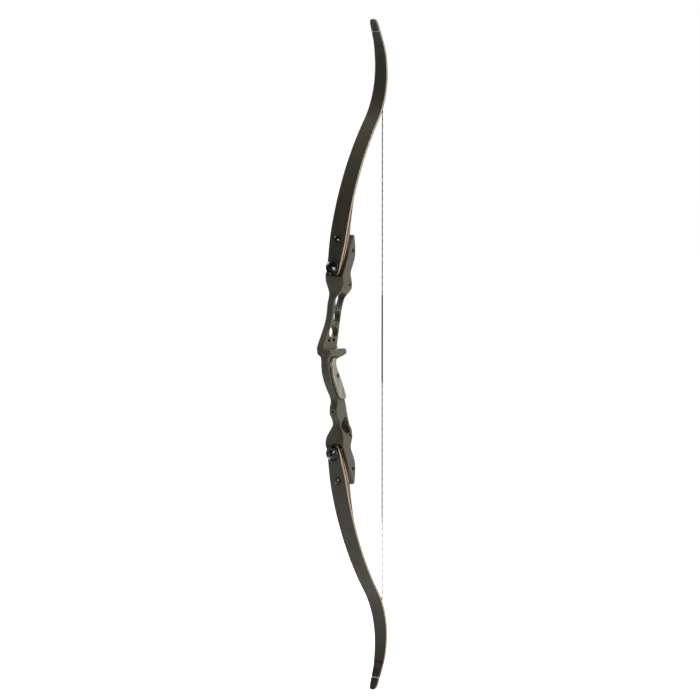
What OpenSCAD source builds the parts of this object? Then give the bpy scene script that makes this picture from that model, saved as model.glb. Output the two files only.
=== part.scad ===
// Takedown recurve bow, strung, standing upright.
// +Z is up, +X points from the target to the archer, and -Y is the side that the arrow passes.
// The origin is the deepest point of the grip, where the web of the hand rests.

/* [Riser] */
// Height of each end of the riser above or below the grip's throat
riser_half = 277; // [270:1:284]
// Width of the riser at its limb pockets
pocket_w = 48; // [46:1:52]
// Thickness of the cheeks beside each limb's butt
cheek_t = 3.5; // [3:0.5:4]
// Distance from the butt at which the cheeks run out
cheek_l = 44; // [38:1:50]
// Width of the riser through the grip and below it
riser_w = 20; // [18:0.5:22]
// Thickness of the wall left beside the sight window
window_wall = 16.5; // [13:0.5:18]
// Distance that the window is cut past the centre line
past_centre = 2.5; // [2:0.5:5]
// Height of the arrow shelf above the grip's throat
shelf_z = 27; // [26:0.5:28]
// Thickness of the arrow shelf
shelf_t = 14; // [12:0.5:15]
// Half width of the arrow shelf
shelf_half_w = 18; // [17:0.5:19]

/* [Holes] */
// Diameter of the plunger and stabiliser threads
accessory_d = 7.94; // [7.5:0.01:8.3]
// Height of the plunger holes above the throat
plunger_z = 45; // [44:0.5:48]
// Distance between the two plunger holes
plunger_pitch = 18; // [16:0.5:19]
// Diameter of the sight mount threads
sight_d = 4.83; // [4:0.01:5.2]
// Distance between the two sight mount holes
sight_pitch = 33.34; // [32:0.01:34]
// Height of the middle of the sight mount holes
sight_z = 96.5; // [96:0.5:97]
// Depth of the stabiliser bushing's thread below its mouth
bushing_l = 19; // [15:1:22]
// Outer diameter of the stabiliser bushing
bushing_d = 12; // [10.5:0.5:13]
// Depth of the stabiliser bushing below the throat
bushing_z = 113; // [110:1:114]

/* [Grip] */
// Width of the grip
grip_w = 31; // [28:0.5:33]
// Diameter of the grip screws
grip_screw_d = 4; // [3:0.5:5]
// Diameter of the grip screws' heads
grip_screw_head_d = 7; // [6:0.5:8]

/* [Limbs] */
// Height of the limb's butt end
butt_z = 190; // [188:1:192]
// Place of the limb's butt end in front of the throat
butt_x = -1.5; // [-3:0.5:0]
// Lean of the limb pad from upright, in degrees
pad_angle = 14.5; // [13:0.5:16]
// Length of the limb that stays straight past the end of its pad
straight_past = 3; // [2:0.5:8]
// Length of the limb's forward bend
bend_l = 284; // [270:1:300]
// Lean of the limb where the bend ends
bend_angle = 38.5; // [35:0.5:41]
// Length of the recurve
recurve_l = 192; // [170:1:210]
// Lean of the limb tip, which points forward
recurve_angle = -22; // [-28:1:-18]
// Straight length at the tip
tip_l = 47; // [44:1:56]
// Thickness of the laminations at the butt
limb_t = 7.2; // [6.5:0.1:8]
// Thickness of the laminations at the tip
tip_t = 5; // [4.5:0.1:6]
// Thickness of each outer glass lamination
glass_t = 1; // [0.8:0.1:1.4]
// Thickness of the butt wedge at its thick end
wedge_t = 8.5; // [7.5:0.1:9.5]
// Distance from the butt at which the wedge starts to thin
wedge_full_l = 92; // [90:1:110]
// Distance from the butt at which the wedge ends
wedge_l = 172; // [150:1:185]
// Distance from the butt at which the limb starts to flex on the draw
flex_l = 215; // [195:1:240]
// Widest part of the limb
limb_w = 41; // [38:0.5:43]
// Width of the butt end
butt_w = 30; // [27:0.5:33]
// Width of the limb where the recurve starts
recurve_w = 34.5; // [32:0.5:36]
// Width of the limb at the string nocks
nock_w = 20; // [18:0.5:22]
// Distance of the string nocks from the limb's end
nock_inset = 29; // [27:1:32]
// Thickness of the tip overlay at the limb's end
overlay_t = 3; // [2:0.2:4]
// Length of the tip overlay
overlay_l = 52; // [48:1:60]

/* [Limb bolts] */
// Distance of the limb bolt from the butt end
bolt_s = 17; // [16:0.5:19]
// Diameter of the limb bolt's shank
bolt_d = 9.5; // [8:0.1:10]
// Diameter of the limb bolt's head
bolt_head_d = 32.5; // [28:0.5:34]
// Thickness of the head's rim
bolt_head_t = 3.2; // [2.5:0.1:4.5]
// Height of the head's crown above its rim
crown_h = 5; // [4:0.5:9]
// Height of the cone washer under the head
cone_h = 3; // [2.8:0.1:5]
// Diameter of the cone washer's sleeve inside the fork
sleeve_washer_d = 15; // [14:0.5:16]
// Width across flats of the limb bolt's hex socket
bolt_hex = 6; // [5:0.5:7]
// Outer diameter of the threaded insert in the riser
insert_d = 14; // [13:0.5:16]
// Length of the threaded insert
insert_l = 13; // [11:0.5:14]

/* [Dovetail] */
// Distance between the limb bolt and the dovetail
dovetail_pitch = 64; // [63:0.5:66]
// Distance of the rocking edge of the pad past the dovetail
rocker_s = 8; // [7:0.5:10]
// Wide diameter of the limb's dovetail
dovetail_d = 12; // [11:0.5:13]
// Narrow diameter of the limb's dovetail
dovetail_neck_d = 9; // [8.5:0.5:10]
// Height of the limb's dovetail below its limb
dovetail_h = 5; // [4.5:0.5:6]
// Length of the dovetail block in the riser
block_l = 36; // [34:1:38]
// Width of the dovetail block
block_w = 18; // [17:0.5:20]
// Depth of the dovetail block under the pad
block_t = 17; // [16:0.5:18]
// Diameter of the detent pin
detent_d = 4; // [3.5:0.1:4.5]
// Distance that the detent pin stands out of the dovetail
detent_out = 1.6; // [1:0.1:2]
// Diameter of the limb button's head
button_d = 17; // [13:0.5:18]
// Height of the limb button's head
button_h = 4; // [3:0.2:5]

/* [String] */
// Diameter of the bowstring
string_d = 2.8; // [2.2:0.1:3.2]
// Diameter over the centre serving
serving_d = 3.7; // [3.4:0.1:4.4]
// Height of the top of the centre serving
serving_top = 138; // [100:1:150]
// Depth of the bottom of the centre serving
serving_bottom = 61; // [40:1:80]
// Diameter of the string's end loops
loop_d = 2.4; // [2:0.1:2.6]

/* [Hidden] */
$fn = 48;

// Clearances
shoulder_gap = 1; // between a limb's butt and its pocket's shoulder
cheek_depth = 6.8; // of the shoulder's front corner under the limb's back face
belly_end_x = 51; // of the riser's end corner
slot_gap = 1; // between the cone washer and the limb's fork
cone_gap = 0.4; // between the cone washer's flank and the edges of the fork
running_gap = 0.05; // radial, between a shaft and its bore
pad_gap = 0.03; // between the limb's butt and its pad
glue_gap = 0.1; // between the grip and the riser
slide_gap = 0.6; // between the limb's dovetail and its slot
eps = 0.01;

// The limb's back face, as points of [x, z] one step apart along the limb
straight_l = bolt_s + dovetail_pitch + rocker_s + straight_past;
limb_l = straight_l + bend_l + recurve_l + tip_l;
step_l = 10;
bend_end = straight_l + bend_l;
recurve_end = bend_end + recurve_l;

function limb_angle(s) =
    s < straight_l ? pad_angle :
    s < bend_end ? pad_angle + (bend_angle - pad_angle) * (s - straight_l) / bend_l :
    s < recurve_end ? bend_angle + (recurve_angle - bend_angle) * (s - bend_end) / recurve_l :
    recurve_angle;

function heading(a) = [sin(a), cos(a)];

back_line = [
    for (i = 0, p = [butt_x, butt_z]; i * step_l <= limb_l + step_l;
        p = p + step_l * heading(limb_angle((i + 0.5) * step_l)), i = i + 1) p
];

function back_at(s) =
    let (i = max(0, floor(s / step_l)), f = s / step_l - i)
    back_line[i] + f * (back_line[i + 1] - back_line[i]);

// A point of the limb at distance s from the butt and depth d under the back face
function limb_pt(s, d) = back_at(s) + d * [cos(limb_angle(s)), -sin(limb_angle(s))];

function main_t(s) = limb_t + (tip_t - limb_t) * s / limb_l;
function stations(a, b) = concat(
    [a],
    [for (i = [1:floor(limb_l / step_l)]) if (i * step_l > a + 1 && i * step_l < b - 1) i * step_l],
    [b]
);
function reversed(v) = [for (i = [len(v) - 1:-1:0]) v[i]];
function flip(v) = [for (p = v) [-p[0], p[1]]];

// Smooth line through a list of points, with n steps between neighbours
function spline_pt(a, b, c, d, t) =
    0.5 * (2 * b + (c - a) * t + (2 * a - 5 * b + 4 * c - d) * t * t
        + (3 * b - a - 3 * c + d) * t * t * t);
function smooth(v, n) = concat([
    for (i = [0:len(v) - 2], k = [0:n - 1])
        spline_pt(v[max(i - 1, 0)], v[i], v[i + 1], v[min(i + 2, len(v) - 1)], k / n)
], [v[len(v) - 1]]);
function smooth_ring(v, n) = [
    for (i = [0:len(v) - 1], k = [0:n - 1])
        spline_pt(v[(i + len(v) - 1) % len(v)], v[i], v[(i + 1) % len(v)], v[(i + 2) % len(v)], k / n)
];

// Places along the limb
thick_end_t = limb_t + wedge_t;
butt_t = thick_end_t + pad_gap;
dovetail_s = bolt_s + dovetail_pitch;
rock_s = dovetail_s + rocker_s;
nock_s = limb_l - nock_inset;
overlay_s = limb_l - overlay_l;
pad_c = cos(pad_angle);
pad_s = sin(pad_angle);
// The pad runs from the shoulder to its rocking edge, and then falls away from the limb
rocking_edge = limb_pt(rock_s, butt_t);
pad_end_drop = 0.8;
pad_end = [rocking_edge[0] + (riser_half - rocking_edge[1]) * pad_s / pad_c + pad_end_drop, riser_half];
shoulder_top = limb_pt(-shoulder_gap, cheek_depth);
cheek_end = limb_pt(cheek_l, butt_t);
cheek_slope = atan((butt_t - cheek_depth) / (cheek_l + shoulder_gap));

// Riser outline seen from the side, as [x, z]
front_z = butt_z - 10;
upper_front = [
    [6, front_z], [8, front_z - 10], [12, 150], [10, 138], [5, 124], [3, 108], [-3, 87], [-14, 66],
    [-25, 48], [-32, 36], [-35, shelf_z], [-33, 15], [-31, 2], [-30.5, -12],
];
lower_front = [
    [-28, -28], [-21, -45], [-10, -64], [2, -81], [5.5, -92], [2, -104], [1.5, -118], [7, -127],
    [13, -138], [13, -150], [9, -168], [6, -front_z],
];
upper_belly = [
    [54, riser_half - 20], [54, riser_half - 46], [47, 213], [37, 193], [42, 174], [51, 159],
    [53, 148], [49, 134], [42, 115], [36, 93], [30, 66], [25, 44], [22, shelf_z + 4],
];
shelf_tail = [
    [26, shelf_z - 2], [29.5, shelf_z - 7], [28, shelf_z - shelf_t - 1], [16, 7], [3, 3], [-5, -5],
];
core_belly = [[-4, -16], [5, -34], [16, -54], [26, -72], [33, -86], [37, -96]];
lower_belly = [
    [41, -112], [46, -128], [52, -144], [52, -156], [44, -172], [37, -193], [47, -213],
    [54, -riser_half + 46], [54, -riser_half + 20],
];
pocket_outline = [[belly_end_x, riser_half], pad_end, rocking_edge, cheek_end, shoulder_top];
riser_outline = concat(
    pocket_outline,
    smooth(upper_front, 3),
    smooth(lower_front, 3),
    reversed([for (p = pocket_outline) [p[0], -p[1]]]),
    smooth(reversed(lower_belly), 3),
    smooth(reversed(core_belly), 3),
    smooth(reversed(shelf_tail), 3),
    smooth(reversed(upper_belly), 3)
);

// Riser outline seen from the front, as [y, z]
window_y = past_centre;
wall_y = past_centre + window_wall;
pocket_half = pocket_w / 2;
riser_front_outline = concat(
    [[-pocket_half, riser_half], [-pocket_half, 176]],
    smooth([[-22, 168], [-16, 157], [-5, 145], [window_y - 1, 135], [window_y, 122]], 3),
    [[window_y, shelf_z], [-shelf_half_w, shelf_z], [-shelf_half_w, shelf_z - shelf_t + 3],
        [-riser_w / 2, shelf_z - shelf_t - 5], [-riser_w / 2, -144], [-pocket_half + 6, -159],
        [-pocket_half, -172], [-pocket_half, -riser_half], [pocket_half, -riser_half],
        [pocket_half, -172], [pocket_half - 6, -159], [riser_w / 2, -144],
        [riser_w / 2, shelf_z - shelf_t - 5], [wall_y, shelf_z - shelf_t + 3],
        [wall_y, 150], [pocket_half, 172], [pocket_half, riser_half]]
);

// Weight cut-outs of the riser, seen from the side
upper_cutout = [
    [22, 149], [41, 147], [46, 140], [41, 127], [35, 117], [29, 113], [22, 117.5], [16, 128], [17, 140],
];
middle_cutout = [[17, 108], [27, 108], [32, 101], [31, 90], [27, 84.5], [15, 84.5], [10.5, 91], [11, 102]];
lower_cutout = [[3, 76], [13, 75], [22, 68], [23, 57], [12, 52], [0, 52], [-7, 58], [-4, 69]];
tail_cutout = [
    [35, -127], [42, -136], [44, -150], [39, -161], [26, -162], [18, -153], [23, -139],
];
ear_z = 167;
ear_x = 38;
ear_hole_d = 7;
set_z = 242;
set_x = 45.5;

module side(w) {
    rotate([90, 0, 0]) linear_extrude(height = w, center = true) children();
}

module front_between(x0, x1) {
    translate([x0, 0, 0]) rotate([90, 0, 90]) linear_extrude(height = x1 - x0) children();
}

// Puts its children at distance s along the limb: z out of the back face, x towards the tip
module on_limb(s) {
    translate([back_at(s)[0], 0, back_at(s)[1]]) rotate([0, limb_angle(s) - 90, 0]) children();
}

module for_lower() {
    mirror([0, 0, 1]) children();
}

module bore_y(x, z, d, y0, y1) {
    translate([x, y1, z]) rotate([90, 0, 0]) cylinder(h = y1 - y0, d = d);
}

// Cuts that the riser takes at its upper pocket, and mirrored at its lower pocket
module pocket_cuts() {
    on_limb(bolt_s) {
        translate([0, 0, -butt_t - insert_l]) cylinder(h = insert_l + 1, d = insert_d);
        translate([0, 0, -butt_t - through_l]) cylinder(h = through_l + 1, d = lock_d + 2 * running_gap);
    }
    on_limb(dovetail_s) {
        translate([block_start, -block_w / 2 - block_gap, -butt_t - block_t])
            cube([block_l, block_w + 2 * block_gap, block_t + 1]);
        translate([-block_l / 2, 0, -butt_t - through_l]) cylinder(h = through_l + 1, d = screw_d + 0.4);
        translate([-block_l / 2, 0, -butt_t - through_l])
            cylinder(h = through_l - block_t - screw_seat_t, d = screw_head_d + 1);
    }
    // Channel for the limb's butt between the cheeks
    on_limb(0) translate([-shoulder_gap, -pocket_half + cheek_t, -butt_t])
        cube([2 * (riser_half - butt_z), pocket_w - 2 * cheek_t, 2 * butt_t]);
    for (m = [0, 1]) mirror([0, m, 0]) {
        bore_y(set_x, set_z, set_screw_d + 2 * running_gap, -pocket_half - 1, -block_w / 2 - 0.4);
        cheek_bevel();
    }
    bore_y(ear_x, ear_z, ear_hole_d, -pocket_half - 1, pocket_half + 1);
}

// Bevel of a pocket's side edge, which widens from the end of its cheek to the end of the riser
module cheek_bevel() {
    on_limb(cheek_l) translate([0, -pocket_half, -butt_t]) rotate([0, cheek_slope, 0]) rotate([45, 0, 0])
        translate([-50, -30, 0]) cube([120, 60, 30]);
}

screw_d = 5;
screw_head_d = 8.5;
screw_head_h = 4;
screw_seat_t = 3.5;
screw_grip_l = 8;
block_inset = 1; // of the block's end from the rocking edge
block_start = rocker_s - block_inset - block_l;
block_gap = 0.5;
lock_d = 8;
set_screw_d = 8;
through_l = 60; // of a hole that runs out on the archer's side

module riser() {
    color("#4c4a3e") difference() {
        intersection() {
            side(pocket_w + 2) polygon(riser_outline);
            front_between(-80, 100) polygon(riser_front_outline);
        }
        side(pocket_w + 4) polygon(smooth_ring(upper_cutout, 3));
        side(pocket_w + 4) polygon(smooth_ring(middle_cutout, 3));
        side(pocket_w + 4) polygon(smooth_ring(lower_cutout, 3));
        side(pocket_w + 4) polygon(smooth_ring(tail_cutout, 3));
        pocket_cuts();
        for_lower() pocket_cuts();
        for (x = [-8, -8 + plunger_pitch]) bore_y(x, plunger_z, accessory_d, -1, pocket_w);
        for (k = [-0.5, 0.5]) bore_y(sight_x, sight_z + k * sight_pitch, sight_d, -1, pocket_w);
        translate([bushing_mouth_x - 20, 0, -bushing_z]) rotate([0, 90, 0])
            cylinder(h = 20 + bushing_l + 2, d = bushing_d);
        for (m = [0, 1]) mirror([0, m, 0])
            bore_y(grip_screw_x, grip_screw_z, grip_screw_d + 2 * running_gap, -pocket_half, -2);
    }
}

sight_x = 18.5;
bushing_mouth_x = 1;
grip_screw_x = 0;
grip_screw_z = -33;

module stabiliser_bushing() {
    color("#6b6a66") translate([bushing_mouth_x, 0, -bushing_z]) rotate([0, 90, 0]) difference() {
        cylinder(h = bushing_l + 1, d = bushing_d);
        translate([0, 0, -1]) cylinder(h = bushing_l + 1, d = accessory_d);
    }
}

// Grip sections from bottom to top: height, front edge, belly edge and share of the width
grip_sections = [
    [-87, 11, 40, 0.38], [-83, 6, 41, 0.45], [-76, 0.5, 38.5, 0.49], [-64, -7.5, 33.5, 0.5],
    [-50, -15, 27, 0.5], [-36, -21, 18.5, 0.5], [-24, -24.5, 10, 0.5], [-12, -26, 2.5, 0.5],
    [-3, -26, 0, 0.49], [4, -23, 2.5, 0.47], [8, -20, 8, 0.44],
];
grip_sides = 28;

// One ring of the grip: blunt towards the front, round towards the palm
function grip_ring(r) = [
    for (k = [0:grip_sides - 1])
        let (a = 360 * k / grip_sides, mid = (r[1] + r[2]) / 2, half = (r[2] - r[1]) / 2,
            blunt = cos(a) < 0 ? 0.35 : 0.75)
        [mid + half * sign(cos(a)) * pow(abs(cos(a)), blunt),
            r[3] * grip_w * sign(sin(a)) * pow(abs(sin(a)), 0.75), r[0]]
];

// Closed skin over a list of rings that have the same number of points
module loft(rings) {
    n = len(rings[0]);
    m = len(rings);
    polyhedron(
        points = [for (r = rings, p = r) p],
        faces = concat(
            [[for (k = [0:n - 1]) k]],
            [for (i = [0:m - 2], k = [0:n - 1]) [i * n + k, (i + 1) * n + k, (i + 1) * n + (k + 1) % n]],
            [for (i = [0:m - 2], k = [0:n - 1]) [i * n + k, (i + 1) * n + (k + 1) % n, i * n + (k + 1) % n]],
            [[for (k = [n - 1:-1:0]) (m - 1) * n + k]]
        )
    );
}

module grip() {
    color("#6f6857") difference() {
        loft([for (r = grip_sections) grip_ring(r)]);
        side(riser_w + 2 * glue_gap) polygon(riser_outline);
        for (m = [0, 1]) mirror([0, m, 0]) {
            bore_y(grip_screw_x, grip_screw_z, grip_screw_d + 2 * running_gap, -grip_w, 0);
            bore_y(grip_screw_x, grip_screw_z, grip_screw_head_d + 0.4, -grip_w, -grip_w / 2 + 2.2);
        }
    }
}

module grip_screws() {
    color("#22211e") for (m = [0, 1]) mirror([0, m, 0]) {
        difference() {
            bore_y(grip_screw_x, grip_screw_z, grip_screw_head_d, -grip_w / 2 + 0.4, -grip_w / 2 + 2.2);
            bore_y(grip_screw_x, grip_screw_z, 3, -grip_w / 2, -grip_w / 2 + 1.4);
        }
        bore_y(grip_screw_x, grip_screw_z, grip_screw_d, -grip_w / 2 + 2, -3);
    }
}

module bolt_insert() {
    color("#a58b4f") on_limb(bolt_s) translate([0, 0, -butt_t - insert_l]) difference() {
        cylinder(h = insert_l, d = insert_d);
        translate([0, 0, -1]) cylinder(h = insert_l + 2, d = bolt_d + 2 * running_gap);
    }
}

crown_top_d = 12;

module limb_bolt() {
    color("#26282a") on_limb(bolt_s) difference() {
        union() {
            translate([0, 0, cone_h]) cylinder(h = bolt_head_t - 1, d = bolt_head_d);
            translate([0, 0, cone_h + bolt_head_t - 1])
                cylinder(h = 1, d1 = bolt_head_d, d2 = bolt_head_d - 2);
            translate([0, 0, cone_h + bolt_head_t])
                cylinder(h = crown_h, d1 = bolt_head_d - 5, d2 = crown_top_d);
            translate([0, 0, -butt_t - insert_l + 0.5])
                cylinder(h = butt_t + insert_l + cone_h, d = bolt_d);
        }
        translate([0, 0, cone_h + bolt_head_t]) cylinder(h = crown_h + 1, d = bolt_hex / cos(30), $fn = 6);
    }
}

// The cone washer hangs on the bolt under its head and centres the limb's fork
module cone_washer() {
    color("#3b3d40") on_limb(bolt_s) difference() {
        union() {
            translate([0, 0, cone_gap]) cylinder(h = cone_h - cone_gap, d1 = fork_w, d2 = bolt_head_d - 5);
            translate([0, 0, -limb_t]) cylinder(h = limb_t + cone_gap + eps, d = sleeve_washer_d);
        }
        translate([0, 0, -limb_t - 1]) cylinder(h = limb_t + cone_h + 2, d = bolt_d + 2 * running_gap);
    }
}

fork_w = sleeve_washer_d + 2 * slot_gap;

module dovetail_block() {
    color("#7d7d7b") on_limb(dovetail_s) translate([0, 0, -butt_t]) difference() {
        translate([block_start, -block_w / 2, -block_t]) cube([block_l, block_w, block_t]);
        dovetail_slot();
        translate([0, 0, -dovetail_h - slide_gap - detent_out - 1])
            cylinder(h = detent_out + 2, d = detent_d + 1.6);
        translate([-block_l / 2, 0, -block_t - 1]) cylinder(h = screw_grip_l + 2, d = screw_d);
    }
}

// Slot for the limb's dovetail, open towards the butt and closed round the detent
module dovetail_slot() {
    wide = dovetail_d / 2 + slide_gap;
    narrow = dovetail_neck_d / 2 + slide_gap;
    depth = dovetail_h + slide_gap;
    translate([0, 0, -depth]) cylinder(h = depth, r1 = wide, r2 = narrow);
    translate([0, 0, -eps]) cylinder(h = 1, r = narrow);
    rotate([90, 0, -90]) linear_extrude(height = block_l)
        polygon([[-wide, -depth], [wide, -depth], [narrow, 0], [narrow, 1], [-narrow, 1], [-narrow, 0]]);
}

// The screw enters from the archer's side and holds the block in its seat
module block_screw() {
    color("#2a2a28") on_limb(dovetail_s) translate([-block_l / 2, 0, -butt_t - block_t - screw_seat_t])
        difference() {
            union() {
                translate([0, 0, -screw_head_h]) cylinder(h = screw_head_h, d = screw_head_d);
                translate([0, 0, -eps]) cylinder(h = screw_seat_t + screw_grip_l, d = screw_d - 0.1);
            }
            translate([0, 0, -screw_head_h - 1]) cylinder(h = 3.5, d = 4 / cos(30), $fn = 6);
        }
}

// Grub screw behind each limb bolt, which locks it
module lock_screw() {
    color("#2a2a28") on_limb(bolt_s) translate([0, 0, -butt_t - insert_l - 0.3 - lock_l]) difference() {
        cylinder(h = lock_l, d = lock_d);
        translate([0, 0, -1]) cylinder(h = 4, d = 4 / cos(30), $fn = 6);
    }
}

lock_l = 6;

module alignment_screws() {
    color("#201f1c") for (m = [0, 1]) mirror([0, m, 0]) difference() {
        bore_y(set_x, set_z, set_screw_d, -pocket_half + 3, -block_w / 2 - 0.5);
        bore_y(set_x, set_z, 4.6, -pocket_half, -pocket_half + 7);
    }
}

sleeve_d = dovetail_neck_d;
shank_d = 6;
button_rim = 1.2;

module limb_dovetail() {
    color("#8b8b88") on_limb(dovetail_s) difference() {
        union() {
            translate([0, 0, -butt_t - dovetail_h])
                cylinder(h = dovetail_h, d1 = dovetail_d, d2 = dovetail_neck_d);
            translate([0, 0, -butt_t - eps]) cylinder(h = butt_t - limb_t + eps, d = sleeve_d);
        }
        translate([0, 0, -butt_t - dovetail_h - 1]) cylinder(h = 12, d = detent_d + 2 * running_gap);
    }
}

module limb_button() {
    color("#33353a") on_limb(dovetail_s) difference() {
        union() {
            cylinder(h = button_rim, d = button_d);
            translate([0, 0, button_rim]) cylinder(h = button_h - button_rim, d1 = button_d - 3, d2 = 7);
            translate([0, 0, -limb_t]) cylinder(h = limb_t + eps, d = shank_d);
        }
        translate([0, 0, button_rim]) cylinder(h = button_h, d = 4.6, $fn = 6);
    }
}

pin_l = 6;
spring_turns = 4;
spring_wire = 0.6;
spring_seat = -butt_t - dovetail_h - detent_out + pin_l;
spring_h = -butt_t - dovetail_h + 11 - spring_seat;

module detent_pin() {
    color("#b5b6b4") on_limb(dovetail_s) translate([0, 0, -butt_t - dovetail_h - detent_out]) {
        cylinder(h = 0.8, d1 = detent_d - 1.6, d2 = detent_d);
        translate([0, 0, 0.8]) cylinder(h = pin_l - 0.8, d = detent_d);
    }
}

// The spring's wire follows a helix between the pin and the end of its bore
function helix(k, n) =
    let (a = 360 * spring_turns * k / n, r = detent_d / 2 - spring_wire / 2 - 0.15)
    [r * cos(a), r * sin(a), spring_wire / 2 + (spring_h - spring_wire) * k / n];

module detent_spring() {
    n = 12 * spring_turns;
    color("#9a9a98") on_limb(dovetail_s) translate([0, 0, spring_seat])
        tube([for (k = [0:n]) helix(k, n)], spring_wire, 6, [0, 0, 1]);
}

function unit(v) = v / norm(v);
function ring_frame(p, i, across) =
    let (t = unit(p[min(i + 1, len(p) - 1)] - p[max(i - 1, 0)]), u = unit(cross(across, t)))
    [u, cross(t, u)];

// Round tube along a route, no stretch of which runs along the direction across
module tube(p, d, sides, across) {
    loft([
        for (i = [0:len(p) - 1])
            let (f = ring_frame(p, i, across))
            [for (k = [0:sides - 1])
                let (a = 360 * k / sides) p[i] + d / 2 * (cos(a) * f[0] + sin(a) * f[1])]
    ]);
}

// Half width of the limb at stations along it
width_stations = [
    [-1, butt_w / 2 - 6], [1, butt_w / 2 - 3.5], [4, butt_w / 2 - 1], [8, butt_w / 2],
    [30, butt_w / 2 + 2], [56, limb_w / 2 - 1.5], [82, limb_w / 2], [130, limb_w / 2],
    [222, limb_w / 2 - 0.7], [330, limb_w / 2 - 1.9], [bend_end + 56, recurve_w / 2],
    [bend_end + 142, recurve_w / 2 - 2.6], [nock_s - 42, nock_w / 2 + 3.2],
    [nock_s - 22, nock_w / 2 + 1.6], [nock_s, nock_w / 2], [limb_l - 14, nock_w / 2 - 1.2],
    [limb_l - 6, nock_w / 2 - 2.6], [limb_l - 2, nock_w / 2 - 5], [limb_l, nock_w / 2 - 8],
];
limb_side = smooth([for (w = width_stations) [w[1], back_at(w[0])[1]]], 3);
limb_front_outline = concat(limb_side, reversed(flip(limb_side)));

// Keeps what lies inside the limb's outline, and cuts its fork, its dovetail hole and its nocks
module limb_shape(hole_d) {
    difference() {
        intersection() {
            children();
            front_between(-80, 260) polygon(limb_front_outline);
        }
        on_limb(bolt_s) {
            translate([0, 0, -40]) cylinder(h = 60, d = fork_w);
            translate([-60, -fork_w / 2, -40]) cube([60, fork_w, 60]);
        }
        on_limb(dovetail_s) translate([0, 0, -40]) cylinder(h = 60, d = hole_d + 2 * running_gap);
        for (m = [0, 1]) mirror([0, m, 0])
            on_limb(nock_s) translate([0, nock_w / 2 + nock_relief, -40]) cylinder(h = 80, r = nock_r);
    }
}

nock_r = 3.2;
nock_relief = 1.2;

// Part of the limb between two depths and two stations
module layer(s0, s1, top, bottom) {
    v = stations(s0, s1);
    side(limb_w + 4) polygon(concat(
        [for (s = v) limb_pt(s, top(s))],
        reversed([for (s = v) limb_pt(s, bottom(s))])
    ));
}

function on_back(s) = 0;
function under_back_glass(s) = glass_t;
function over_belly_glass(s) = main_t(s) - glass_t;
function on_belly(s) = main_t(s);
function on_overlay(s) = -overlay_t * (s - overlay_s) / overlay_l - 0.6;

module back_glass(s0, s1) {
    color("#2f2d28") limb_shape(shank_d)
        layer(s0, s1, function (s) on_back(s), function (s) under_back_glass(s));
}

module core(s0, s1) {
    color("#c8aa7a") limb_shape(shank_d)
        layer(s0, s1, function (s) under_back_glass(s), function (s) over_belly_glass(s));
}

module belly_glass(s0, s1) {
    color("#2b2924") limb_shape(shank_d)
        layer(s0, s1, function (s) over_belly_glass(s), function (s) on_belly(s));
}

module butt_wedge() {
    color("#94713f") limb_shape(sleeve_d)
        layer(0, wedge_l, function (s) on_belly(s), function (s) on_wedge(s));
}

// The wedge's belly face is flat past the rocking edge of the pad, then thins to a feather edge
feather_t = 0.15;
function on_wedge(s) =
    s <= wedge_full_l ? thick_end_t :
    on_belly(s) + feather_t
        + (thick_end_t - main_t(wedge_full_l) - feather_t) * (wedge_l - s) / (wedge_l - wedge_full_l);

module tip_overlay() {
    color("#3a3833") limb_shape(shank_d)
        layer(overlay_s, limb_l, function (s) on_overlay(s), function (s) on_back(s));
}

// The string lies on the belly of the recurve, and runs straight down from its widest point
contact_gap = 0.3;
function string_pt(s) = limb_pt(s, main_t(s) + contact_gap + string_d / 2);
contact_pts = [for (s = stations(bend_end, nock_s - string_d)) string_pt(s)];
string_x = max([for (p = contact_pts) p[0]]);
string_lift = [for (p = contact_pts) if (p[0] > string_x - eps) p][0];
string_route = concat(
    [[string_x, 0, 0]],
    [for (p = contact_pts) if (p[1] > string_lift[1] - eps) [p[0], 0, p[1]]]
);

module bowstring() {
    color("#8d897c") tube(string_route, string_d, 8, [0, 1, 0]);
}

module serving(l) {
    color("#5e594b") translate([string_x, 0, 0]) difference() {
        cylinder(h = l, d = serving_d);
        translate([0, 0, -1]) cylinder(h = l + 2, d = string_d + 0.1);
    }
}

// End loop: round both nocks and across the belly and the back of the tip.
// Its points lie on a rounded rectangle, drawn as [across, depth], that leans towards the tip.
loop_gap = 0.3;
loop_r = loop_d / 2 + loop_gap;
nock_half = nock_w / 2 + nock_relief - nock_r;
nock_depths = [on_overlay(nock_s), main_t(nock_s)];
loop_lean = 1.2;

function loop_corner(y, d, from) = [
    for (a = [from:22.5:from + 90]) [y + loop_r * cos(a), d + loop_r * sin(a)]
];
loop_section = concat(
    loop_corner(nock_half, nock_depths[1], 0),
    loop_corner(-nock_half, nock_depths[1], 90),
    loop_corner(-nock_half, nock_depths[0], 180),
    loop_corner(nock_half, nock_depths[0], 270)
);
loop_mid = (nock_depths[0] + nock_depths[1]) / 2;
loop_depth = nock_depths[1] - nock_depths[0];
loop_route = [
    for (q = loop_section)
        let (p = limb_pt(nock_s - loop_lean * (q[1] - loop_mid) / loop_depth, q[1])) [p[0], q[0], p[1]]
];

// Closed ring of one diameter along a route whose ends join
module ring_tube(p, d, sides, across) {
    n = len(p);
    rings = [
        for (i = [0:n - 1])
            let (t = unit(p[(i + 1) % n] - p[(i + n - 1) % n]), u = unit(cross(across, t)), v = cross(t, u))
            [for (k = [0:sides - 1]) p[i] + d / 2 * (cos(360 * k / sides) * u + sin(360 * k / sides) * v)]
    ];
    polyhedron(
        points = [for (r = rings, q = r) q],
        faces = concat(
            [for (i = [0:n - 1], k = [0:sides - 1])
                [i * sides + k, (i + 1) % n * sides + k, (i + 1) % n * sides + (k + 1) % sides]],
            [for (i = [0:n - 1], k = [0:sides - 1])
                [i * sides + k, (i + 1) % n * sides + (k + 1) % sides, i * sides + (k + 1) % sides]]
        )
    );
}

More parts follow.
